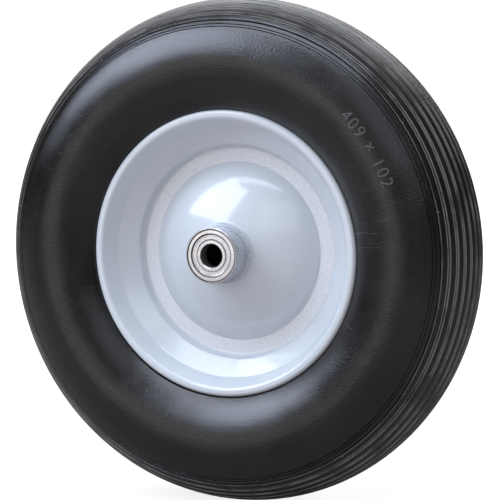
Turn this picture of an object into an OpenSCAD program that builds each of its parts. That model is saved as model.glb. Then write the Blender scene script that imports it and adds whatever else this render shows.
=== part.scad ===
// Barrow wheel: a solid foam tyre on a welded pair of pressed steel rim halves.
// A hub tube runs through the rim and holds one shielded ball bearing at each end.
// The wheel stands upright and turns about the Y axis, with its centre at the origin.
// The front is the side toward -Y. All sizes are in millimetres and degrees.
// Profiles are drawn as [radius, y] for the rear half and turned about the axle line.

/* [Tyre] */
// Outside diameter of the tyre
tyre_d = 409; // [404:0.2:414]
// Width of the tyre at its widest
tyre_w = 101.6; // [98:0.2:106]
// Squareness of the tyre's section, where 2 is an ellipse
tyre_power = 1.9; // [1.8:0.05:2.2]
// Step from the rim's nominal diameter in to the tyre's hidden base
base_depth = 4.1; // [3.5:0.1:6]
// Angle between neighbouring tread grooves, about the middle of the tyre's section
rib_angle = 8.2; // [7.5:0.1:9]
// Grooves on each side of the middle one
rib_grooves = 6; // [3:1:6]
// Width of a tread groove
groove_w = 1.9; // [1:0.1:2.6]
// Depth of a tread groove
groove_depth = 1.5; // [0.5:0.1:2.4]
// Angle from the last tread groove to the shoulder bead's first groove
shoulder_angle = 4.6; // [3.5:0.1:6]
// Width of the raised bead between the two shoulder grooves
shoulder_bead = 1.4; // [1:0.1:3]
// Width of a shoulder groove
shoulder_w = 1; // [0.6:0.1:1.5]
// Depth of a shoulder groove
shoulder_depth = 0.7; // [0.3:0.1:1.2]

/* [Rim] */
// Nominal diameter of the rim, where the tyre sits
rim_d = 203.2; // [200:0.2:207]
// Thickness of the pressed sheet
sheet_t = 2.5; // [2:0.1:2.8]
// Distance from the middle of the wheel to the crest of the flange
flange_y = 35.3; // [33:0.1:38]
// Radius of the flange's rolled edge
roll_r = 3.2; // [3:0.1:3.8]
// Width of the flange, from the mouth of the bowl out to the rolled edge
flange_w = 6.6; // [6.2:0.1:9]
// Step from the rim's nominal radius out to the mouth of the bowl
flare = 6.7; // [5:0.1:9]
// Distance from the middle of the wheel to the tyre's seat
seat_y = 21; // [18:0.1:24]
// Step from the rim's nominal radius in to the weld ring
well_depth = 17.2; // [15:0.1:20]
// Width of the flat weld ring
ring_w = 11.8; // [8:0.1:15]
// Step from the weld ring out to the turn at the root of the bowl
root_step = 2.8; // [2:0.1:4]
// Distance from the middle of the wheel to that turn
root_y = 9.3; // [8:0.1:11]
// Distance from the middle of the wheel to the dome at its collar
dome_y = 28.3; // [24:0.1:31]
// Height of the collar round the hub tube
collar_h = 3.7; // [3:0.1:5]

/* [Hub] */
// Length of the hub tube
hub_len = 106.2; // [98:0.2:120]
// Wall of the hub tube round a bearing
hub_wall = 1.5; // [1.2:0.1:3]
// Height of the step that a bearing sits against
hub_step = 1.6; // [1:0.1:2.4]
// Distance that each bearing sits back from the end of the tube
bearing_inset = 0.5; // [0.3:0.1:2]
// Length of the weld bead along the tube
weld_h = 1.9; // [1:0.1:2.6]

/* [Bearings] */
// Bore of the bearing
bore_d = 19.05; // [17:0.05:20]
// Outside diameter of the bearing
bearing_d = 41.275; // [40:0.025:44]
// Width of the bearing
bearing_w = 11.1125; // [11:0.0125:13]
// Diameter of a ball
ball_d = 6.35; // [6:0.05:6.6]
// Number of balls in each bearing
ball_count = 8; // [6:1:8]
// Depth of the grooves that the balls run in
race_depth = 1.2; // [0.8:0.05:1.4]
// Step at the inner ring's faces that makes room for the shields
shield_step = 0.6; // [0.3:0.05:0.9]
// Chamfer on the rings' edges
ring_chamfer = 0.4; // [0.2:0.05:0.6]
// Thickness of the shields' sheet
shield_t = 0.4; // [0.3:0.05:0.5]
// Thickness of the cage's sheet
cage_t = 0.45; // [0.3:0.05:0.55]

/* [Hidden] */
// Gap between pieces that are pressed or welded together
seat_gap = 0.05;
// Gap between the tyre and the rim
tyre_gap = 0.1;
// Gap between a ball and its races or its pocket
ball_gap = 0.08;
// Gap between a shield and what turns beside it
shield_gap = 0.3;
// Crevice between the flange's edge and the tyre
crevice = 0.3;
// Step from the rim's nominal radius in to the sheet's open face at the seat
seat_step = 0.4;
// Straight edge of the sheet past the rolled flange
roll_edge = 0.2;
// Rounding of the bowl's mouth, the seat, the root, the weld ring and the collar
bowl_round = 3.4;
seat_round = 5;
root_round = 5;
ring_round = 2;
collar_round = 1.6;
// Chamfer on the hub tube's ends
tube_chamfer = 0.4;
// Points on a rounded corner, on the dome and on the sidewall
corner_steps = 8;
dome_steps = 20;
sidewall_steps = 28;

section_half = tyre_w / 2;
section_centre = tyre_d / 2 - section_half;
shoulder_start = rib_grooves * rib_angle + shoulder_angle;

rim_r = rim_d / 2;
bowl_r = rim_r + flare;
flange_r = bowl_r + flange_w;
lip_y = flange_y - roll_r - roll_edge;
seat_r = rim_r - seat_step;
ring_r = rim_r - well_depth;
root_r = ring_r + root_step;
dome_r = ring_r - ring_w;
collar_y = dome_y + collar_h;

bearing_r = bearing_d / 2;
tube_r = bearing_r + seat_gap + hub_wall;
tube_bore_r = bearing_r - hub_step;
collar_bore_r = tube_r + seat_gap;
collar_r = collar_bore_r + sheet_t;
weld_r = collar_r - tube_chamfer;
bearing_end = hub_len / 2 - bearing_inset;
bearing_y = bearing_end - bearing_w / 2;

bore_r = bore_d / 2;
pitch_r = (bore_r + bearing_r) / 2;
ball_r = ball_d / 2;
race_r = ball_r * 1.04;
inner_land_r = pitch_r - ball_r + race_depth;
outer_land_r = pitch_r + ball_r - race_depth;
inner_face_r = inner_land_r - shield_step;
outer_face_r = outer_land_r + 0.15;
pocket_r = ball_r + ball_gap;
shield_y = pocket_r + cage_t + 2 * shield_gap;
shield_seat_r = outer_face_r + 0.5;
shield_bead = 0.45;
cage_half_w = ball_r / 3;
rivet_r = cage_t;
rivet_head_r = 0.8;
rivet_head_h = 0.3;

// Profile helpers

function unit(v) = v / norm(v);
function turned_left(v) = [-v.y, v.x];
function reversed(path) = [for (i = [len(path) - 1:-1:0]) path[i]];
function flipped(path) = [for (p = path) [p.x, -p.y]];

// A half profile with y above 0, closed by its own mirror image
function both_sides(path) = concat(path, reversed(flipped(path)));

// The point of line a-b at a given y, and at a given radius
function at_height(a, b, y) = a + (b - a) * (y - a.y) / (b.y - a.y);
function at_radius(a, b, r) = a + (b - a) * (r - a.x) / (b.x - a.x);

// The angle from one direction to another, the short way round
function turn_angle(from, to) = (to - from + 540) % 360 - 180;

// Points of the arc that rounds the corner b between a and c
function corner(a, b, c, radius) =
    let (
        u = unit(a - b),
        w = unit(c - b),
        half = acos(u * w) / 2,
        centre = b + unit(u + w) * radius / sin(half),
        start = b + u * radius / tan(half) - centre,
        end = b + w * radius / tan(half) - centre,
        first = atan2(start.y, start.x),
        sweep = turn_angle(first, atan2(end.y, end.x))
    )
    [for (i = [0:corner_steps])
        let (angle = first + sweep * i / corner_steps)
        centre + radius * [cos(angle), sin(angle)]];

// A path through corners given as [radius, y, rounding]
function rounded(corners) =
    let (last = len(corners) - 1, at = [for (c = corners) [c[0], c[1]]])
    [for (i = [0:last])
        each i == 0 || i == last || corners[i][2] == 0
            ? [at[i]]
            : corner(at[i - 1], at[i], at[i + 1], corners[i][2])];

// The path moved sideways by a distance, to the left of its direction
function beside(path, distance) =
    let (last = len(path) - 1)
    [for (i = [0:last])
        let (
            before = turned_left(unit(path[max(i, 1)] - path[max(i, 1) - 1])),
            after = turned_left(unit(path[min(i, last - 1) + 1] - path[min(i, last - 1)]))
        )
        path[i] + (before + after) * distance / (1 + before * after)];

// Turning a profile about the axle line, and picking the wheel's end

module turned() {
    rotate([-90, 0, 0])
        rotate_extrude($fn = 180)
            children();
}

module at_end(end) {
    mirror([0, end == "front" ? 1 : 0, 0])
        children();
}

// Tyre

// Where the sidewall ends, just outside the flange's edge
mouth = [flange_r + 1.2, lip_y + 2.3];
// How far across, and in or out, the section's oval reaches at a given y
function oval_reach(y) = pow(1 - pow(y / section_half, tyre_power), 1 / tyre_power);
// Height of the lower half of the section, so that it ends at the mouth
lower_height = (section_centre - mouth.x) / oval_reach(mouth.y);
// Degrees of the section for a length along it
function as_angle(length) = length / section_half * 180 / PI;

// A point of the section at an angle from the crown, cut in by a depth above the widest place
function on_section(angle, cut = 0) =
    let (
        y = section_half * sin(angle),
        reach = oval_reach(y),
        out = unit([pow(reach, tyre_power - 1), pow(sin(angle), tyre_power - 1)])
    )
    angle > 90
        ? [section_centre - lower_height * reach, y]
        : [section_centre + section_half * reach, y] - out * cut;

function groove(angle, width, depth) =
    [for (s = [[-0.5, 0], [-0.25, 1], [0.25, 1], [0.5, 0]])
        on_section(angle + as_angle(s[0] * width), s[1] * depth)];

function rib(i) = [for (part = [0.35, 0.5, 0.65]) on_section((i + part) * rib_angle)];

function tread_half() = concat(
    [
        on_section(0, groove_depth),
        on_section(as_angle(groove_w / 4), groove_depth),
        on_section(as_angle(groove_w / 2))
    ],
    rib(0),
    [for (i = [1:rib_grooves])
        each concat(groove(i * rib_angle, groove_w, groove_depth), i < rib_grooves ? rib(i) : [])],
    groove(shoulder_start, shoulder_w, shoulder_depth),
    groove(shoulder_start + as_angle(shoulder_bead + shoulder_w), shoulder_w, shoulder_depth));

function sidewall() =
    let (
        first = shoulder_start + as_angle(shoulder_bead + 2 * shoulder_w),
        last = 180 - asin(mouth.y / section_half)
    )
    [for (i = [0:sidewall_steps]) on_section(first + (last - first) * i / sidewall_steps)];

// The tyre's foot: a crevice beside the flange's edge, then down the rim to the base
function foot() =
    let (
        wall = rounded([
            [bowl_r, flange_y, 0],
            [seat_r, seat_y, seat_round],
            [root_r, root_y, 0]]),
        seat = beside(wall, sheet_t + tyre_gap),
        last = len(seat) - 1,
        under = lip_y - tyre_gap
    )
    concat(
        [[flange_r + 2 * crevice, (lip_y + mouth.y) / 2], [flange_r + crevice, under]],
        [at_height(seat[0], seat[1], under)],
        [for (i = [1:last - 1]) seat[i]],
        [at_radius(seat[last - 1], seat[last], rim_r - base_depth)]);

module tyre() {
    color("#1c1c1e")
        turned()
            polygon(both_sides(concat(tread_half(), sidewall(), foot())));
}

// Rim

// Open face of one pressed half, from the flange's edge in to the end of the collar
function rim_face() =
    let (
        centre_y = (pow(collar_r, 2) + pow(dome_y, 2) - pow(dome_r, 2) - pow(sheet_t, 2))
            / (2 * (dome_y - sheet_t)),
        dome_radius = norm([dome_r, sheet_t - centre_y]),
        crease_angle = asin(dome_r / dome_radius),
        collar_angle = asin(collar_r / dome_radius),
        bowl = rounded([
            [flange_r, lip_y, 0],
            [flange_r, flange_y, roll_r],
            [bowl_r, flange_y, bowl_round],
            [seat_r, seat_y, seat_round],
            [root_r, root_y, root_round],
            [ring_r, sheet_t, ring_round],
            [dome_r, sheet_t, 0]]),
        dome = [for (i = [1:dome_steps - 1])
            let (angle = crease_angle + (collar_angle - crease_angle) * i / dome_steps)
            [dome_radius * sin(angle), centre_y + dome_radius * cos(angle)]],
        before = dome[dome_steps - 2],
        collar = rounded([
            [before.x, before.y, 0],
            [collar_r, dome_y, collar_round],
            [collar_r, collar_y, 0]])
    )
    concat(bowl, dome, [for (i = [1:len(collar) - 1]) collar[i]]);

module rim_half(end) {
    face = rim_face();
    color("#b9c3ce")
        at_end(end)
            turned()
                polygon(concat(face, reversed(beside(face, sheet_t))));
}

// Hub

module hub_tube() {
    seat = bearing_r + seat_gap;
    shoulder = bearing_end - bearing_w - seat_gap;
    half_len = hub_len / 2;
    c = tube_chamfer;
    color("#b3bdc8")
        turned()
            polygon(both_sides([
                [tube_bore_r, shoulder],
                [seat, shoulder],
                [seat, half_len - c],
                [seat + c, half_len],
                [tube_r - c, half_len],
                [tube_r, half_len - c]]));
}

// Weld bead with a round face, between the collar's end and the tube
module hub_weld(end) {
    color("#aeb8c3")
        at_end(end)
            turned()
                polygon(concat(
                    [[collar_bore_r, collar_y]],
                    [for (angle = [0:15:90])
                        [
                            collar_bore_r + (weld_r - collar_bore_r) * cos(angle),
                            collar_y + weld_h * sin(angle)
                        ]]));
}

// Bearings, drawn about the bearing's own centre

module at_bearing(end) {
    at_end(end)
        translate([0, bearing_y, 0])
            children();
}

// A groove of round section that the balls run in, open to one side of its bottom
module race(bottom_r, side) {
    turned()
        translate([bottom_r + side * race_r, 0])
            circle(r = race_r, $fn = 48);
}

module inner_ring(end) {
    half = bearing_w / 2;
    c = ring_chamfer;
    color("#c9cccf")
        at_bearing(end)
            difference() {
                turned()
                    polygon(both_sides([
                        [inner_land_r, shield_y - shield_gap],
                        [inner_face_r, shield_y - shield_gap],
                        [inner_face_r, half - c / 2],
                        [inner_face_r - c / 2, half],
                        [bore_r + c, half],
                        [bore_r, half - c]]));
                race(pitch_r - ball_r - ball_gap, 1);
            }
}

module outer_ring(end) {
    half = bearing_w / 2;
    slot_r = shield_seat_r + seat_gap;
    slot_low = shield_y - seat_gap;
    slot_high = shield_y + shield_t + seat_gap;
    c = ring_chamfer;
    color("#c9cccf")
        at_bearing(end)
            difference() {
                turned()
                    polygon(both_sides([
                        [outer_land_r, slot_low],
                        [slot_r, slot_low],
                        [slot_r, slot_high],
                        [outer_face_r, (slot_high + half) / 2],
                        [outer_face_r, half],
                        [bearing_r - c, half],
                        [bearing_r, half - c]]));
                race(pitch_r + ball_r + ball_gap, -1);
            }
}

// Pressed shield with a raised bead near its edge
module shield(end, side) {
    bead_out = outer_face_r - shield_gap;
    bead_in = bead_out - 1;
    slope = 0.25;
    path = [
        [shield_seat_r, shield_y],
        [bead_out, shield_y],
        [bead_out - slope, shield_y + shield_bead],
        [bead_in, shield_y + shield_bead],
        [bead_in - slope, shield_y + shield_bead / 3],
        [inner_face_r + shield_gap, shield_y + shield_bead / 3]];
    color("#a9adb1")
        at_bearing(end)
            mirror([0, side == "inside" ? 1 : 0, 0])
                turned()
                    polygon(concat(path, [for (p = reversed(path)) [p.x, p.y + shield_t]]));
}

// One place round the bearing for each ball
module at_ball(i) {
    rotate([0, 360 / ball_count * i, 0])
        translate([pitch_r, 0, 0])
            children();
}

// One place between each pair of balls
module at_rivet(i) {
    rotate([0, 360 / ball_count * (i + 0.5), 0])
        translate([pitch_r, 0, 0])
            rotate([-90, 0, 0])
                children();
}

// A rod lying along the radius through a ball
module radial_rod(radius, length) {
    rotate([0, 90, 0])
        cylinder(h = length, r = radius, center = true, $fn = 48);
}

// Pressed ribbon that arches over half of each ball and lies flat between them
module cage_half(end, side) {
    inner = pitch_r - cage_half_w;
    outer = pitch_r + cage_half_w;
    color("#8f8a80")
        at_bearing(end)
            mirror([0, side == "inside" ? 1 : 0, 0])
                difference() {
                    union() {
                        turned()
                            polygon([[inner, 0], [outer, 0], [outer, cage_t], [inner, cage_t]]);
                        for (i = [1:ball_count])
                            at_ball(i)
                                radial_rod(pocket_r + cage_t, 2 * cage_half_w);
                    }
                    for (i = [1:ball_count])
                        at_ball(i)
                            radial_rod(pocket_r, 4 * cage_half_w);
                    for (i = [1:ball_count])
                        at_rivet(i)
                            cylinder(h = 4 * cage_t, r = rivet_r + seat_gap, center = true, $fn = 24);
                    translate([-bearing_r, -ball_d, -bearing_r])
                        cube([bearing_d, ball_d, bearing_d]);
                }
}

module cage_rivets(end) {
    head_y = cage_t + rivet_head_h;
    color("#8f8a80")
        at_bearing(end)
            for (i = [1:ball_count])
                at_rivet(i)
                    rotate_extrude($fn = 24)
                        polygon([
                            [0, -head_y],
                            [rivet_head_r, -head_y],
                            [rivet_head_r, -cage_t],
                            [rivet_r, -cage_t],
                            [rivet_r, cage_t],
                            [rivet_head_r, cage_t],
                            [rivet_head_r, head_y],
                            [0, head_y]]);
}

module ball(end, i) {
    color("#d4d6d8")
        at_bearing(end)
            at_ball(i)
                sphere(r = ball_r, $fn = 48);
}

tyre();
hub_tube();
for (end = ["front", "rear"]) {
    rim_half(end);
    hub_weld(end);
    outer_ring(end);
    inner_ring(end);
    shield(end, "outside");
    shield(end, "inside");
    cage_half(end, "outside");
    cage_half(end, "inside");
    cage_rivets(end);
    for (i = [1:ball_count]) {
        ball(end, i);
    }
}
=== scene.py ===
"""Looks of a barrow wheel: a solid foam tyre on a painted, pressed rim with two ball bearings.

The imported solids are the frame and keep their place. This script gives every solid its finish, adds
the raised figures and the moulding pips of the tyre, and sets up the studio round the wheel.
Lengths are in metres and angles in degrees unless a name says otherwise. The wheel stands upright
and turns about the Y axis, its front side faces -Y, and +Z is up.
"""

import logging
import math
from dataclasses import dataclass, field
from enum import Enum
import bpy
import numpy as np
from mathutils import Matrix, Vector


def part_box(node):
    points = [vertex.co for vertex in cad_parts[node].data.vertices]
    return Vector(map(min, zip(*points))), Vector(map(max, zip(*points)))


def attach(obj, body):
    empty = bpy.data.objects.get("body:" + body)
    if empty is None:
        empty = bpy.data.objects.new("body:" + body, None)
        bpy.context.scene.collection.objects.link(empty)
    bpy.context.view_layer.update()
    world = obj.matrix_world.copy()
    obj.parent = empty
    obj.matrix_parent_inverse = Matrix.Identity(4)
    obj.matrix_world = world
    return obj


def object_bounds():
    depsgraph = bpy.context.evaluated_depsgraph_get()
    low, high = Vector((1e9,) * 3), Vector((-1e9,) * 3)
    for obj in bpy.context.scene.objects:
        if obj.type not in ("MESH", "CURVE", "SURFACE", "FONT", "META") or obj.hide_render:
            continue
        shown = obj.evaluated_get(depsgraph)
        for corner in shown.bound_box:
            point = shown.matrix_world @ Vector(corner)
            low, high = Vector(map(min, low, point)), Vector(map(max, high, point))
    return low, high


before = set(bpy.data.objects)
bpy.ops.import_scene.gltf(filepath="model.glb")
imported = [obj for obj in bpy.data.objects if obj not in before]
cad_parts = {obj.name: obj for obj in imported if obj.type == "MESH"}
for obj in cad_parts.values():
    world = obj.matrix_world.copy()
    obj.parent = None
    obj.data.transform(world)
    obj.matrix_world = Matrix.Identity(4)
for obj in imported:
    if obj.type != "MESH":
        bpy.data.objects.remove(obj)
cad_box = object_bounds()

log = logging.getLogger("barrow_wheel")

MM = 0.001

Colour = tuple[float, float, float]
Value = "Wire | float"

WHITE = (1.0, 1.0, 1.0, 1.0)


class Side(Enum):
    """The two sides of the wheel, each with the sign of its Y and the start of its node names."""

    FRONT = (-1.0, "front")
    REAR = (1.0, "rear")

    @property
    def sign(self) -> float:
        """Sign of Y on this side."""
        return self.value[0]

    @property
    def word(self) -> str:
        """First word of the names of this side's nodes."""
        return self.value[1]


class Wire:
    """An output socket of a shader node that can be used in Python sums."""

    def __init__(self, recipe: "Recipe", socket: bpy.types.NodeSocket) -> None:
        """Keeps the socket and the recipe that it belongs to."""
        self.recipe = recipe
        self.socket = socket

    def _maths(self, operation: str, *values: Value) -> "Wire":
        """Adds one Math node.

        Args:
            operation: The Math node's operation.
            values: The node's inputs in order.

        Returns:
            The node's result.
        """
        return self.recipe.node("ShaderNodeMath", {"operation": operation}, *values)

    def __add__(self, other: Value) -> "Wire":
        """self + other."""
        return self._maths("ADD", self, other)

    def __radd__(self, other: Value) -> "Wire":
        """other + self."""
        return self._maths("ADD", other, self)

    def __sub__(self, other: Value) -> "Wire":
        """self - other."""
        return self._maths("SUBTRACT", self, other)

    def __rsub__(self, other: Value) -> "Wire":
        """other - self."""
        return self._maths("SUBTRACT", other, self)

    def __mul__(self, other: Value) -> "Wire":
        """self * other."""
        return self._maths("MULTIPLY", self, other)

    def __rmul__(self, other: Value) -> "Wire":
        """other * self."""
        return self._maths("MULTIPLY", other, self)

    def __truediv__(self, other: Value) -> "Wire":
        """self / other."""
        return self._maths("DIVIDE", self, other)

    def root(self) -> "Wire":
        """Square root."""
        return self._maths("SQRT", self)

    def size(self) -> "Wire":
        """Value without its sign."""
        return self._maths("ABSOLUTE", self)

    def whole(self) -> "Wire":
        """Nearest whole number."""
        return self._maths("ROUND", self)

    def slope(self) -> "Wire":
        """Angle whose sine this is, in radians."""
        return self._maths("ARCSINE", self)

    def __lt__(self, other: Value) -> "Wire":
        """1 where self is below other, and 0 elsewhere."""
        return self._maths("LESS_THAN", self, other)

    def larger(self, other: Value) -> "Wire":
        """The larger of the two values."""
        return self._maths("MAXIMUM", self, other)

    def ramp(self, low: float, high: float) -> "Wire":
        """Smooth step: 0 at low, 1 at high, also where low is the larger of the two.

        Args:
            low: Value at which the step is 0.
            high: Value at which the step is 1.

        Returns:
            The step, held between 0 and 1.
        """
        if low > high:
            return 1.0 - self.ramp(high, low)
        settings = {"interpolation_type": "SMOOTHSTEP"}
        return self.recipe.node("ShaderNodeMapRange", settings, self, low, high, 0.0, 1.0)

    def band(self, middle: float, width: float, soft: float) -> "Wire":
        """Mask of a band: 1 within half the width of the middle, falling to 0 over soft.

        Args:
            middle: Value at the middle of the band.
            width: Full width of the band.
            soft: Distance over which each edge fades.

        Returns:
            The mask.
        """
        return (self - middle).size().ramp(width / 2 + soft, width / 2)


class Recipe:
    """A node tree under construction."""

    def __init__(self, tree: bpy.types.NodeTree) -> None:
        """Empties the tree and keeps it."""
        self.tree = tree
        tree.nodes.clear()

    def node(self, kind: str, settings: dict | None = None, *inputs: object, out: int | str = 0,
             **named: object) -> Wire:
        """Adds a node, sets it up and feeds its inputs.

        Args:
            kind: Type of the node.
            settings: The node's own properties, set before its inputs.
            inputs: Values or wires for the inputs, in order.
            out: Number or name of the output that is wanted.
            named: Values or wires by the input's name, with _ for a space.

        Returns:
            The chosen output.
        """
        made = self.tree.nodes.new(kind)
        for name, value in (settings or {}).items():
            setattr(made, name, value)
        for key, value in [*enumerate(inputs), *((k.replace("_", " "), v) for k, v in named.items())]:
            if isinstance(value, Wire):
                self.tree.links.new(value.socket, made.inputs[key])
            elif value is not None:
                made.inputs[key].default_value = value
        return Wire(self, made.outputs[out] if made.outputs else None)

    def mix(self, share: Value, first: object, second: object) -> Wire:
        """Blend of two colours.

        Args:
            share: 0 for the first colour and 1 for the second.
            first: Colour or wire.
            second: Colour or wire.

        Returns:
            The blended colour.
        """
        made = self.tree.nodes.new("ShaderNodeMix")
        made.data_type = "RGBA"
        for key, value in ((0, share), (6, first), (7, second)):
            if isinstance(value, Wire):
                self.tree.links.new(value.socket, made.inputs[key])
            elif key == 0:
                made.inputs[key].default_value = value
            else:
                made.inputs[key].default_value = (*value, 1.0)
        return Wire(self, made.outputs[2])

    def place(self) -> Wire:
        """Position on the piece."""
        return self.node("ShaderNodeTexCoord", None, out="Object")

    def parts(self) -> tuple[Wire, Wire, Wire]:
        """The position's X, Y and Z."""
        split = self.node("ShaderNodeSeparateXYZ", None, self.place(), out=0)
        outputs = split.socket.node.outputs
        return Wire(self, outputs[0]), Wire(self, outputs[1]), Wire(self, outputs[2])

    def around(self) -> tuple[Wire, Wire]:
        """Distance from the wheel's axis, and distance along it."""
        x, y, z = self.parts()
        return (x * x + z * z).root(), y

    def noise(self, scale: float, detail: float = 2.0, roughness: float = 0.5,
              vector: Wire | None = None) -> Wire:
        """Soft noise between 0 and 1.

        Args:
            scale: Features to a metre.
            detail: Number of finer layers.
            roughness: Strength of the finer layers.
            vector: Position, where it isn't the place on the piece.

        Returns:
            The noise.
        """
        return self.node("ShaderNodeTexNoise", None, vector or self.place(), Scale=scale, Detail=detail,
                         Roughness=roughness)

    def streaks(self, across: float, along: float, detail: float = 3.0) -> Wire:
        """Noise drawn out round the axis, as tools and moulds leave it on a turned surface.

        The position is the direction from the axis times `along`, with the distance from the axis and
        the distance along it, both times `across`, added on the third coordinate.

        Args:
            across: Features to a metre across the streaks.
            along: Features to a turn, about.
            detail: Number of finer layers.

        Returns:
            The noise.
        """
        x, y, z = self.parts()
        radius = (x * x + z * z).root().larger(1e-5)
        place = self.node("ShaderNodeCombineXYZ", None, x / radius * along, z / radius * along,
                          radius * across + y * (across * 0.77))
        return self.noise(1.0, detail, vector=place)

    def bump(self, height: Wire, depth: float, under: Wire | None = None) -> Wire:
        """Normal that is tilted by a height pattern.

        Args:
            height: The pattern, from 0 to 1.
            depth: Its height in metres.
            under: Another bump that lies below this one.

        Returns:
            The normal.
        """
        made = self.node("ShaderNodeBump", None, Strength=1.0, Distance=depth, Height=height)
        if under is not None:
            self.tree.links.new(under.socket, made.socket.node.inputs["Normal"])
        return made


@dataclass(frozen=True)
class Finish:
    """A finish that is laid on pieces as one material."""

    name: str

    def recipe(self) -> tuple[bpy.types.Material, Recipe]:
        """A new material with an empty tree."""
        made = bpy.data.materials.new(self.name)
        made.use_nodes = True
        return made, Recipe(made.node_tree)

    def close(self, recipe: Recipe, **inputs: object) -> None:
        """Ends a recipe with the surface shader.

        Args:
            recipe: The material's recipe.
            inputs: Values or wires of the shader, with _ for a space.
        """
        fixed = {k: (*v, 1.0) if isinstance(v, tuple) else v for k, v in inputs.items()}
        surface = recipe.node("ShaderNodeBsdfPrincipled", None, **fixed)
        recipe.node("ShaderNodeOutputMaterial", None, Surface=surface)


@dataclass(frozen=True)
class FoamSkin(Finish):
    """Closed black skin of moulded foam: satin on the sidewalls and duller from wear on the tread."""

    deep: Colour = (0.0026, 0.0025, 0.0028)
    pale: Colour = (0.0095, 0.0083, 0.0075)
    # Paler colour of the painted highlight beside each tread groove.
    dust: Colour = (0.070, 0.067, 0.064)
    highlight_and_wear: Colour = (0.190, 0.185, 0.178)
    gloss: float = 0.200
    tread_gloss: float = 0.42
    tread_radius: float = 0.1925
    grain: float = 640.0
    grain_depth: float = 0.00028
    wave_depth: float = 0.0011
    section: float = 0.0508
    tread_soft: float = 0.002
    rib_turn: float = math.radians(8.2)
    rib_count: int = 7
    rib_start: float = 0.184
    rib_full: float = 0.188
    groove_half: float = 0.00095
    edge_width: float = 0.00045
    edge_soft: float = 0.0003
    streak_depth: float = 0.00006
    specular: float = 0.70

    def make(self) -> bpy.types.Material:
        """Builds the material: cloudy black, mould streaks, fine grain, radial scuffs and a painted highlight
        beside each tread groove.

        A tread groove lies wherever the angle of the section, the arc sine of Y over half the tyre's
        width, is a whole number of rib turns. Beside each of them lies a paler line, a painted highlight
        standing in for the light on the rib's edge.
        """
        made, r = self.recipe()
        radius, y = r.around()
        clouds = r.noise(27.0, 4.0, 0.6)
        streaks = r.streaks(420.0, 1.6)
        grain = r.noise(self.grain, 3.0, 0.65)
        tread = radius.ramp(self.tread_radius - self.tread_soft, self.tread_radius + self.tread_soft)
        turns = (y / self.section).slope() / self.rib_turn
        groove = (turns - turns.whole()).size() * (self.rib_turn * self.section)
        # Painted highlight: a paler band beside each groove, standing in for the light caught by the rounded
        # rib edges.
        highlight_and_wear = groove.band(self.groove_half + self.edge_width / 2, self.edge_width, self.edge_soft)
        highlight_and_wear = highlight_and_wear * (turns.size() < self.rib_count) * radius.ramp(self.rib_start, self.rib_full)
        highlight_and_wear = highlight_and_wear * (0.35 + 0.65 * r.noise(34.0, 3.0, 0.6).ramp(0.35, 0.6))
        specks = r.noise(900.0, 2.0, 0.6).ramp(0.66, 0.74) * r.noise(60.0, 2.0).ramp(0.45, 0.62)
        waves = r.noise(27.0, 1.0, 0.35)
        scuffs = r.streaks(38.0, 60.0, 2.0).ramp(0.62, 0.74) * r.noise(11.0, 1.0).ramp(0.52, 0.64)
        colour = r.mix(clouds.ramp(0.3, 0.7) * 0.5 + streaks.ramp(0.35, 0.7) * 0.5, self.deep, self.pale)
        dusty = specks * 0.5 + scuffs * 0.30 + tread * streaks.ramp(0.4, 0.8) * 0.03
        # The paler groove bands are mixed in here as painted highlight.
        colour = r.mix(highlight_and_wear * 0.8, r.mix(dusty, colour, self.dust), self.highlight_and_wear)
        rough = self.gloss + (clouds - 0.5) * 0.22 + (streaks - 0.5) * 0.08 + (grain - 0.5) * 0.12
        rough = rough + tread * (self.tread_gloss - self.gloss) + scuffs * 0.12
        skin = r.bump(waves, self.wave_depth, under=r.bump(grain, self.grain_depth))
        normal = r.bump(streaks, self.streak_depth, under=skin)
        self.close(r, Base_Color=colour, Roughness=rough, Normal=normal, Specular_IOR_Level=self.specular)
        return made


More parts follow.
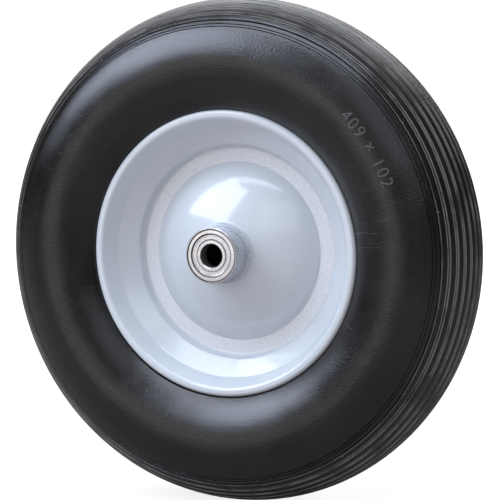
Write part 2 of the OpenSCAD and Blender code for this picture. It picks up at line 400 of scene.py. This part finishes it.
@dataclass(frozen=True)
class SheetPaint(Finish):
    """Pale grey-blue gloss paint on pressed sheet, sandy where the two halves are welded together."""

    tone: Colour = (0.446, 0.492, 0.540)
    # Paler paint: random clouds, and the painted highlight on the lip's crest, partly paler from wear.
    pale_wear_and_sheen: Colour = (0.520, 0.552, 0.587)
    ring_tone: Colour = (0.610, 0.635, 0.675)
    ring_shade: Colour = (0.500, 0.520, 0.560)
    # Dark colour of the nibs, and of the painted shade in the crease at the bowl's root.
    grime_and_shade: Colour = (0.16, 0.17, 0.20)
    gloss: float = 0.40
    ring_in: float = 0.0732
    ring_out: float = 0.0836
    ring_soft: float = 0.0008
    flange: float = 0.1125
    lip_sheen_width: float = 0.0020
    lip_sheen_soft: float = 0.0014
    root: float = 0.0866
    root_shade_width: float = 0.0004
    root_shade_soft: float = 0.0016
    peel_depth: float = 0.00009
    sand_depth: float = 0.00025
    coat: float = 0.9
    coat_gloss: float = 0.11
    coat_index: float = 1.6

    def make(self) -> bpy.types.Material:
        """Builds the material: orange peel, sandy weld ring, a painted highlight on the lip that is partly
        wear, painted shade at the root with some soiling, a few nibs.
        """
        made, r = self.recipe()
        radius, _ = r.around()
        ring = radius.ramp(self.ring_in - self.ring_soft, self.ring_in)
        ring = ring * radius.ramp(self.ring_out + self.ring_soft, self.ring_out)
        clouds = r.noise(26.0, 3.0, 0.5)
        peel = r.noise(330.0, 2.0, 0.45)
        sand = r.noise(880.0, 4.0, 0.75)
        nibs = r.noise(520.0, 1.0).ramp(0.80, 0.86)
        # Painted highlight: a paler band on the crest of the flange lip, partly paint paler from wear.
        lip = radius.band(self.flange, self.lip_sheen_width, self.lip_sheen_soft)
        lip = lip * r.noise(180.0, 3.0).ramp(0.35, 0.75)
        # Painted shade: a darker line in the crease at the bowl's root, with some soiling.
        root = radius.band(self.root, self.root_shade_width, self.root_shade_soft)
        root = root * r.noise(70.0, 3.0).ramp(0.3, 0.7)
        colour = r.mix(clouds.ramp(0.3, 0.75) * 0.35, self.tone, self.pale_wear_and_sheen)
        colour = r.mix(ring, colour, r.mix(sand.ramp(0.38, 0.62), self.ring_shade, self.ring_tone))
        # The lip band is mixed in as painted highlight, partly wear.
        colour = r.mix(lip * 0.5, colour, self.pale_wear_and_sheen)
        # Root line: painted shade, with some soiling; nibs: specks in the paint.
        colour = r.mix(root * 0.16 + nibs * 0.35, colour, self.grime_and_shade)
        rough = self.gloss + (clouds - 0.5) * 0.10 + ring * (0.18 + sand * 0.2)
        skin = r.bump(peel, self.peel_depth)
        normal = r.bump(sand * ring + nibs * 0.4, self.sand_depth, under=skin)
        self.close(r, Base_Color=colour, Roughness=rough, Coat_Weight=self.coat - ring * self.coat,
                   Coat_Roughness=self.coat_gloss, Coat_IOR=self.coat_index, Normal=normal)
        return made


@dataclass(frozen=True)
class HubPaint(Finish):
    """The rim's paint on the hub tube: pocked by weld spatter, and thin down to steel at the end."""

    tone: Colour = (0.330, 0.360, 0.420)
    pale: Colour = (0.46, 0.49, 0.54)
    pock: Colour = (0.070, 0.072, 0.090)
    steel: Colour = (0.66, 0.66, 0.67)
    # Near black painted shade for the inside of the tube.
    inside: Colour = (0.006, 0.006, 0.007)
    gloss: float = 0.34
    end: float = 0.0531
    bare: float = 0.0007
    waver: float = 0.0006
    bore_shade_edge: float = 0.0210
    bore_shade_soft: float = 0.0003
    peel_depth: float = 0.00006
    pock_depth: float = 0.00012
    coat: float = 0.6
    coat_gloss: float = 0.12

    def make(self) -> bpy.types.Material:
        """Builds the material: soft peel, dark pocks along the tube, a bare lip at each end, and near-black
        painted shade inside the tube.
        """
        made, r = self.recipe()
        radius, y = r.around()
        # Painted shade: inside the tube, the paint is coloured near black.
        dark = radius.ramp(self.bore_shade_edge + self.bore_shade_soft, self.bore_shade_edge)
        peel = r.noise(420.0, 2.0, 0.5)
        clouds = r.noise(120.0, 3.0, 0.55)
        pocks = r.noise(820.0, 2.0, 0.6).ramp(0.56, 0.66) * r.noise(110.0, 2.0).ramp(0.38, 0.56)
        reach = y.size() + r.noise(500.0, 2.0) * self.waver
        bare = reach.ramp(self.end - self.bare, self.end) * (1.0 - dark)
        colour = r.mix(clouds.ramp(0.3, 0.75) * 0.6, self.tone, self.pale)
        colour = r.mix(pocks, colour, self.pock)
        colour = r.mix(dark, r.mix(bare, colour, self.steel), self.inside)
        rough = self.gloss + pocks * 0.3 - bare * 0.06 + dark * 0.4
        normal = r.bump(clouds * 0.5 - pocks, self.pock_depth, under=r.bump(peel, self.peel_depth))
        self.close(r, Base_Color=colour, Roughness=rough, Metallic=bare,
                   Coat_Weight=(1.0 - bare.larger(dark)) * self.coat, Coat_Roughness=self.coat_gloss,
                   Normal=normal)
        return made


@dataclass(frozen=True)
class TurnedSteel(Finish):
    """Bright steel with fine marks round the axis, and near-black lines along its gaps: painted shade with some
    oil in it.

    Each crease is the radius of its middle, its width, and its strength. The darker side is the X and Z
    of the side towards which those lines grow darker and wider.
    """

    tone: Colour = (0.87, 0.88, 0.93)
    shade: Colour = (0.76, 0.765, 0.81)
    # Near black of the dark dots and of the painted shade along the gaps between parts.
    dirt_and_shade: Colour = (0.006, 0.005, 0.006)
    oil: Colour = (0.110, 0.098, 0.094)
    gloss: float = 0.18
    marks: float = 5200.0
    depth: float = 0.000006
    shaded_creases: tuple[tuple[float, float, float], ...] = ()
    crease_soft: float = 0.00022
    crease_waver: float = 0.0004
    darker_side: tuple[float, float] = (-0.9, 0.55)
    bore: float = 0.0096
    bore_soft: float = 0.0002

    def make(self) -> bpy.types.Material:
        """Builds the material: rings of tool marks, cloudy sheen, dots, painted shade with some oil along the
        gaps, and an oily bore.
        """
        made, r = self.recipe()
        radius, _ = r.around()
        x, _, z = r.parts()
        rings = r.streaks(self.marks, 0.7, 2.0)
        clouds = r.noise(160.0, 3.0, 0.6)
        rough_edge = (r.noise(900.0, 3.0, 0.6) - 0.5) * self.crease_waver
        # The painted shade lines grow darker and wider towards -X and +Z.
        side = (x * self.darker_side[0] + z * self.darker_side[1]) / radius.larger(MM)
        dirt_and_shade = r.noise(1500.0, 2.0, 0.6).ramp(0.70, 0.76) * 0.5
        # Painted shade: each crease band is a near-black line along a gap between parts, with some oil.
        for middle, width, strength in self.shaded_creases:
            line = (radius + rough_edge - side * (width * 0.3)).band(middle, width, self.crease_soft)
            dirt_and_shade = dirt_and_shade.larger(line * (strength * (0.8 + side * 0.25)))
        colour = r.mix(rings.ramp(0.3, 0.7) * 0.5 + clouds.ramp(0.35, 0.75) * 0.5, self.tone, self.shade)
        inside = radius.ramp(self.bore + self.bore_soft, self.bore)
        colour = r.mix(dirt_and_shade, r.mix(inside, colour, self.oil), self.dirt_and_shade)
        rough = self.gloss + (clouds - 0.5) * 0.14 + dirt_and_shade * 0.35 + inside * 0.25
        self.close(r, Base_Color=colour, Roughness=rough, Metallic=1.0 - dirt_and_shade.larger(inside * 0.7) * 0.9,
                   Normal=r.bump(rings, self.depth))
        return made


def lay(finish: bpy.types.Material, *nodes: str) -> None:
    """Puts a material on solids of the frame.

    Args:
        finish: The material.
        nodes: Names of the solids.
    """
    for name in nodes:
        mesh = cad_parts[name].data
        mesh.materials.clear()
        mesh.materials.append(finish)
        log.info("%s wears %s", name, finish.name)


def new_piece(name: str, points: np.ndarray, faces: np.ndarray, finish: bpy.types.Material) -> bpy.types.Object:
    """Makes a smooth mesh piece that turns with the wheel.

    Args:
        name: Name of the piece.
        points: Corners, one row each.
        faces: Corner numbers, one row for each face.
        finish: The material.

    Returns:
        The piece.
    """
    mesh = bpy.data.meshes.new(name)
    mesh.from_pydata(points.tolist(), [], faces.tolist())
    mesh.shade_smooth()
    mesh.materials.append(finish)
    piece = bpy.data.objects.new(name, mesh)
    bpy.context.scene.collection.objects.link(piece)
    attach(piece, "wheel")
    log.info("%s: %d faces", name, len(faces))
    return piece


@dataclass
class Tyre:
    """The solid tyre with its raised figures and moulding pips.

    The sidewall's section is a rounded square: y / half is (1 - reach ** power) ** (1 / power),
    where reach is the distance from the section's centre circle over half the section. The figures'
    middle and the first pip are at angles in degrees above the X axis, and figure_body is the size of
    the letters' body over the height of a figure.
    """

    skin: bpy.types.Material
    # Paler skin of the figures and pips: partly wear, partly painted highlight.
    highlight_and_wear: bpy.types.Material
    power: float = 1.9
    figures: str = "409 × 102"
    figure_radius: float = 0.1592
    figure_height: float = 0.0100
    figure_body: float = 1.37
    figure_pitch: float = 1.20
    figure_middle: float = 33.4
    figure_relief: float = 0.0010
    figure_round: float = 0.0002
    figure_sink: float = 0.0003
    pip_count: int = 16
    pip_radius: float = 0.1870
    pip_size: float = 0.00055
    pip_height: float = 0.0011
    pip_sink: float = 0.0004
    pip_start: float = 12.0
    pip_tip: float = 0.96
    half: float = field(init=False)
    centre: float = field(init=False)

    def __post_init__(self) -> None:
        """Takes the section's sizes from the frame's tyre."""
        low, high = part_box("tyre")
        self.half = (high.y - low.y) / 2
        self.centre = high.z - self.half

    def wall(self, radius: np.ndarray) -> np.ndarray:
        """Distance of the sidewall from the middle plane at a radius.

        Args:
            radius: Distances from the axis.

        Returns:
            Distances along the axis, without a sign.
        """
        reach = np.clip(np.abs(radius - self.centre) / self.half, 0.0, 1.0)
        return self.half * (1.0 - reach ** self.power) ** (1.0 / self.power)

    def build(self) -> None:
        """Dresses the tyre and adds its figures and pips."""
        lay(self.skin, "tyre")
        self.raised_figures()
        for side in Side:
            self.pips(side)

    def raised_figures(self) -> None:
        """Adds the raised figures on the front sidewall.

        Flat letters lie in the plane of text. Their own height goes outward along the radius, their
        line goes clockwise round the axis, and their thickness stands off the sidewall.
        """
        curve = bpy.data.curves.new("figures", "FONT")
        curve.body = self.figures
        curve.size = self.figure_height * self.figure_body
        curve.space_character = self.figure_pitch
        curve.align_x = "CENTER"
        curve.extrude = self.figure_relief - self.figure_round
        curve.bevel_depth = self.figure_round
        curve.offset = -self.figure_round
        curve.resolution_u = 6
        flat = bpy.data.objects.new("figures_flat", curve)
        bpy.context.scene.collection.objects.link(flat)
        bpy.context.view_layer.update()
        mesh = bpy.data.meshes.new_from_object(flat.evaluated_get(bpy.context.evaluated_depsgraph_get()))
        bpy.data.objects.remove(flat)
        flat_points = np.empty(len(mesh.vertices) * 3)
        mesh.vertices.foreach_get("co", flat_points)
        along, up, thick = flat_points.reshape(-1, 3).T
        radius = self.figure_radius - self.figure_height / 2 + up
        angle = np.radians(self.figure_middle) - along / self.figure_radius
        out = self.wall(radius) + thick - self.figure_sink
        points = np.column_stack([radius * np.cos(angle), -out, radius * np.sin(angle)])
        mesh.vertices.foreach_set("co", points.ravel())
        mesh.materials.clear()
        mesh.materials.append(self.highlight_and_wear)
        piece = bpy.data.objects.new("raised_figures", mesh)
        bpy.context.scene.collection.objects.link(piece)
        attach(piece, "wheel")
        log.info("raised_figures: %d faces", len(mesh.polygons))

    def pips(self, side: Side, rings: int = 4, steps: int = 10) -> None:
        """Adds the short stalks that the mould's vents leave near the shoulder.

        Each stalk is a profile turned about its own stem: the radius falls from the root to a round
        tip as the height rises, and the stem stands square to the sidewall.

        Args:
            side: Side of the wheel.
            rings: Rings of points on a stalk.
            steps: Points in a ring.
        """
        up = np.linspace(0.0, 1.0, rings)
        wide = self.pip_size * np.sqrt(1.0 - self.pip_tip * up ** 4)
        high = self.pip_height * up - self.pip_sink
        turn = np.linspace(0.0, 2 * np.pi, steps, endpoint=False)
        across = (wide[:, None] * np.cos(turn)).ravel()
        aside = (wide[:, None] * np.sin(turn)).ravel()
        stem = np.repeat(high, steps)
        near, base, beyond = self.wall(self.pip_radius + np.array([-MM, 0.0, MM]))
        slope = math.atan2(near - beyond, 2 * MM)
        radius = self.pip_radius + across * math.cos(slope) + stem * math.sin(slope)
        depth = base - across * math.sin(slope) + stem * math.cos(slope)
        angles = np.radians(np.arange(self.pip_count) * 360.0 / self.pip_count + self.pip_start)
        cos, sin = np.cos(angles)[:, None], np.sin(angles)[:, None]
        x = radius * cos - aside * sin
        y = np.broadcast_to(side.sign * depth, x.shape)
        z = radius * sin + aside * cos
        points = np.stack([x, y, z], axis=-1).reshape(-1, 3)
        here = np.arange(steps)
        there = (here + 1) % steps
        first = np.column_stack([here, there, there + steps, here + steps])
        wall = np.concatenate([first + k * steps for k in range(rings - 1)])
        faces = (wall[None] + (np.arange(self.pip_count) * rings * steps)[:, None, None]).reshape(-1, 4)
        if side is Side.FRONT:
            faces = faces[:, ::-1]
        new_piece(f"{side.word}_pips", points, faces, self.highlight_and_wear)


@dataclass
class Rim:
    """The two pressed halves of the rim."""

    paint: bpy.types.Material

    def build(self) -> None:
        """Dresses both halves."""
        lay(self.paint, *(f"{side.word}_rim_half" for side in Side))


@dataclass
class Hub:
    """The hub tube with the weld bead at each end of the rim."""

    paint: bpy.types.Material

    def build(self) -> None:
        """Dresses the tube and the two beads."""
        lay(self.paint, "hub_tube", *(f"{side.word}_hub_weld" for side in Side))


@dataclass
class Bearing:
    """One shielded ball bearing."""

    side: Side
    rings: bpy.types.Material
    shields: bpy.types.Material
    cage: bpy.types.Material
    balls: bpy.types.Material

    def build(self) -> None:
        """Dresses the rings, shields, cage and balls."""
        word = self.side.word
        lay(self.rings, f"{word}_outer_ring", f"{word}_inner_ring")
        lay(self.shields, f"{word}_outside_shield", f"{word}_inside_shield")
        lay(self.cage, f"{word}_outside_cage_half", f"{word}_inside_cage_half", f"{word}_cage_rivets")
        lay(self.balls, *(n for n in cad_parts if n.startswith(f"{word}_ball_")))


@dataclass(frozen=True)
class Panel:
    """A soft light panel, placed by its direction from the wheel's centre."""

    name: str
    bearing: float
    height: float
    distance: float
    width: float
    depth: float
    radiance: float
    colour: Colour

    def build(self) -> None:
        """Adds the panel as an area lamp that faces the wheel and that the camera doesn't see."""
        turn, rise = math.radians(self.bearing), math.radians(self.height)
        out = Vector((math.sin(turn) * math.cos(rise), -math.cos(turn) * math.cos(rise), math.sin(rise)))
        lamp = bpy.data.lights.new(self.name, "AREA")
        lamp.shape = "RECTANGLE"
        lamp.size, lamp.size_y = self.width, self.depth
        lamp.energy = self.radiance * math.pi * self.width * self.depth
        lamp.color = self.colour
        holder = bpy.data.objects.new(self.name, lamp)
        holder.location = out * self.distance
        holder.rotation_mode = "QUATERNION"
        holder.rotation_quaternion = out.to_track_quat("Z", "Y")
        holder.visible_camera = False
        bpy.context.scene.collection.objects.link(holder)


@dataclass
class Studio:
    """Pale floor, surround, soft light panels and the camera."""

    floor_half: float = 9.0
    floor_tone: Colour = (0.46, 0.42, 0.41)
    glow: float = 0.62
    glow_level: float = 1.36
    fade_from: float = 0.30
    fade_to: float = 1.00
    surround: Colour = (1.0, 0.96, 0.94)
    surround_level: float = 0.80
    shiny_level: float = 0.045
    shiny_floor: float = 0.35
    view_bearing: float = 24.7
    view_height: float = 4.98
    view_distance: float = 1.524
    view_aside: float = 0.0086
    view_raise: float = 0.0005
    lens: float = 134.8
    sensor: float = 36.0
    panels: tuple[Panel, ...] = (
        Panel("key_panel", -50.0, 38.5, 1.7, 1.50, 1.08, 5.6, (0.83, 0.93, 1.13)),
        Panel("over_panel", -8.0, 70.0, 1.8, 1.50, 0.72, 4.2, (0.86, 0.94, 1.10)),
        Panel("right_panel", 27.0, 30.0, 1.9, 1.20, 0.95, 0.9, (0.90, 0.96, 1.06)),
        Panel("low_panel", -20.0, 3.5, 2.0, 1.10, 0.76, 1.15, (1.0, 0.955, 0.915)),
        Panel("rear_panel", 184.0, 48.0, 1.9, 1.6, 1.2, 3.0, (0.94, 0.97, 1.0)),
        Panel("back_low_panel", 204.0, 3.0, 2.0, 1.10, 0.80, 0.8, (1.0, 0.98, 0.97)),
        Panel("far_panel", -140.0, 35.0, 2.1, 1.2, 1.2, 1.8, (0.96, 0.98, 1.0)),
    )

    def build(self) -> None:
        """Builds the floor, the world, the panels and the camera."""
        self.floor()
        self.world()
        for panel in self.panels:
            panel.build()
        self.camera()
        bpy.context.scene.view_settings.view_transform = "Standard"

    def floor(self) -> None:
        """Adds the floor: plain pale to the light, white to the camera, with the wheel's soft shadow.

        Reflections see it dimmed, because the black skin turns grey where it mirrors a pale floor.
        """
        half = self.floor_half
        low = cad_box[0].z
        mesh = bpy.data.meshes.new("floor")
        corners = [(-half, -half, low), (half, -half, low), (half, half, low), (-half, half, low)]
        mesh.from_pydata(corners, [], [(0, 1, 2, 3)])
        made = bpy.data.materials.new("pale_floor")
        made.use_nodes = True
        r = Recipe(made.node_tree)
        x, y, _ = r.parts()
        seen = r.node("ShaderNodeLightPath", None, out="Is Camera Ray")
        away = (x * x + y * y).root().ramp(self.fade_from, self.fade_to)
        share = seen * (self.glow + away * (1.0 - self.glow))
        shiny = r.node("ShaderNodeLightPath", None, out="Is Glossy Ray")
        dim = r.node("ShaderNodeEmission", None, WHITE, self.shiny_level)
        matt = r.node("ShaderNodeMixShader", None, shiny * (1.0 - self.shiny_floor),
                      r.node("ShaderNodeBsdfDiffuse", None, (*self.floor_tone, 1.0)), dim)
        white = r.node("ShaderNodeEmission", None, WHITE, self.glow_level)
        r.node("ShaderNodeOutputMaterial", None, r.node("ShaderNodeMixShader", None, share, matt, white))
        mesh.materials.append(made)
        piece = bpy.data.objects.new("floor", mesh)
        bpy.context.scene.collection.objects.link(piece)

    def world(self) -> None:
        """Sets the world: white to the camera and through clear things, and a soft fill on matt surfaces.

        Reflections see it at a dark level, because the black skin turns grey where it mirrors white.
        """
        world = bpy.data.worlds.new("surround")
        world.use_nodes = True
        bpy.context.scene.world = world
        r = Recipe(world.node_tree)
        seen = r.node("ShaderNodeLightPath", None, out="Is Camera Ray")
        through = r.node("ShaderNodeLightPath", None, out="Is Transmission Ray")
        shiny = r.node("ShaderNodeLightPath", None, out="Is Glossy Ray")
        soft = r.node("ShaderNodeBackground", None, (*self.surround, 1.0), self.surround_level)
        white = r.node("ShaderNodeBackground", None, WHITE, 1.0)
        dim = r.node("ShaderNodeBackground", None, WHITE, self.shiny_level)
        studio = r.node("ShaderNodeMixShader", None, shiny, soft, dim)
        share = seen.larger(through)
        r.node("ShaderNodeOutputWorld", None, r.node("ShaderNodeMixShader", None, share, studio, white))

    def camera(self) -> None:
        """Adds the camera at the photograph's angle, aimed a little to the right of the wheel's centre."""
        turn, rise = math.radians(self.view_bearing), math.radians(self.view_height)
        back = Vector((math.sin(turn) * math.cos(rise), -math.cos(turn) * math.cos(rise), math.sin(rise)))
        right = Vector((math.cos(turn), math.sin(turn), 0.0))
        eye = bpy.data.cameras.new("eye")
        eye.lens, eye.sensor_width = self.lens, self.sensor
        holder = bpy.data.objects.new("eye", eye)
        aim = right * self.view_aside + Vector((0.0, 0.0, self.view_raise))
        holder.location = aim + back * self.view_distance
        holder.rotation_mode = "QUATERNION"
        holder.rotation_quaternion = (-back).to_track_quat("-Z", "Y")
        bpy.context.scene.collection.objects.link(holder)
        bpy.context.scene.camera = holder


def main() -> None:
    """Builds the finishes, the wheel's sub-assemblies and the studio in order."""
    logging.basicConfig(level=logging.INFO, format="%(name)s: %(message)s")
    skin = FoamSkin("foam_skin").make()
    paint = SheetPaint("sheet_paint").make()
    hub_paint = HubPaint("hub_paint").make()
    # Paler skin of the raised figures and pips: partly wear, partly a painted highlight standing in for their
    # lit edges.
    highlight_and_wear = FoamSkin("highlight_and_wear_skin", deep=(0.036, 0.036, 0.039), pale=(0.075, 0.072, 0.068),
                      gloss=0.32).make()
    # Crease bands: painted shade along the gaps between hub tube, rings and shields, with some oil.
    rings = TurnedSteel("ring_steel", shaded_creases=((0.0207, 0.0008, 1.0), (0.0172, 0.0008, 1.0),
                                               (0.0124, 0.0005, 0.9))).make()
    shields = TurnedSteel("shield_steel", gloss=0.22, marks=3600.0,
                          shaded_creases=((0.0170, 0.0008, 1.0), (0.01285, 0.0004, 0.9))).make()
    cage = TurnedSteel("cage_steel", tone=(0.50, 0.49, 0.47), gloss=0.40, marks=1500.0).make()
    balls = TurnedSteel("ball_steel", tone=(0.72, 0.72, 0.73), gloss=0.10, marks=900.0).make()
    Tyre(skin, highlight_and_wear).build()
    Rim(paint).build()
    Hub(hub_paint).build()
    for side in Side:
        Bearing(side, rings, shields, cage, balls).build()
    Studio().build()


if __name__ == "__main__":
    main()
